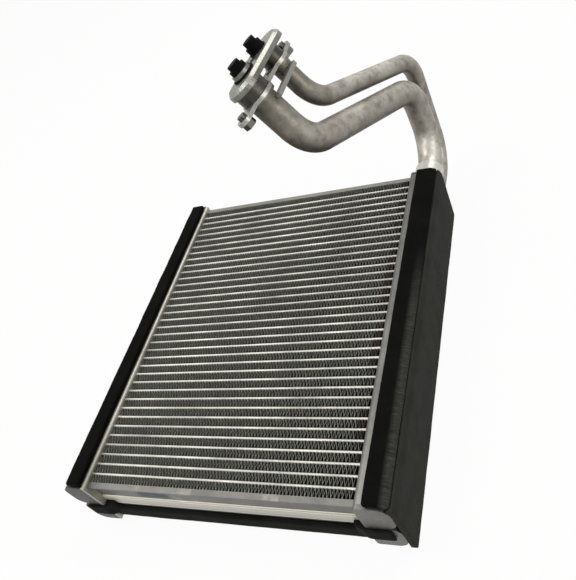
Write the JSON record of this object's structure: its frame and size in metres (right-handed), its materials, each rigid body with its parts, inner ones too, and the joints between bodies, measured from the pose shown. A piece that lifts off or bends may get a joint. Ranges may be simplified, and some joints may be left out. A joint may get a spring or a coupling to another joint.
{
  "type": "evaporator",
  "caption": "Brazed aluminium air-conditioning evaporator: flat-tube core with corrugated fins, side tanks wrapped in foam strips, and two bent refrigerant pipes ending in a plugged pipe flange.",
  "frame": {"origin": "Middle of the outline's footprint, on the plane that the backs of the two tanks rest on", "axes": "+Z points out of the front of the core, which faces up; +Y runs along the tanks toward the pipes' end; +X points to the tank that carries the pipes"},
  "size_m": [0.2002, 0.292, 0.1817],
  "materials": {
    "core_aluminium": "brazed, dull satin",
    "fin_aluminium": "coated, dark grey",
    "plate_aluminium": "brazed, dull satin",
    "tank_aluminium": "brazed, dull satin",
    "pipe_aluminium": "drawn, satin",
    "flange_aluminium": "machined, satin",
    "screw_steel": "plated, grey",
    "seal_rubber": "moulded, black",
    "plug_plastic": "moulded, black",
    "foam": "closed-cell foam, matt black"
  },
  "bodies": {
    "root": {"front_tubes": "core_aluminium", "rear_tubes": "core_aluminium", "fins": "fin_aluminium", "upper_side_plate": "plate_aluminium", "lower_side_plate": "plate_aluminium", "right_header_plate": "plate_aluminium", "left_header_plate": "plate_aluminium", "right_front_tank": "tank_aluminium", "right_rear_tank": "tank_aluminium", "left_front_tank": "tank_aluminium", "left_rear_tank": "tank_aluminium", "right_lower_caps": "tank_aluminium", "left_lower_caps": "tank_aluminium", "left_upper_caps": "tank_aluminium", "suction_end_cap": "tank_aluminium", "liquid_end_cap": "tank_aluminium", "pass_partitions": "tank_aluminium", "suction_pipe": "pipe_aluminium", "liquid_pipe": "pipe_aluminium", "flange": "flange_aluminium", "retaining_plate": "flange_aluminium", "clamp_screws": "screw_steel", "pipe_bracket": "plate_aluminium", "suction_seal": "seal_rubber", "liquid_seal": "seal_rubber", "suction_plug": "plug_plastic", "liquid_plug": "plug_plastic", "right_front_foam": "foam", "right_side_foam": "foam", "left_front_foam": "foam", "lower_foam": "foam"}
  },
  "joints": []
}
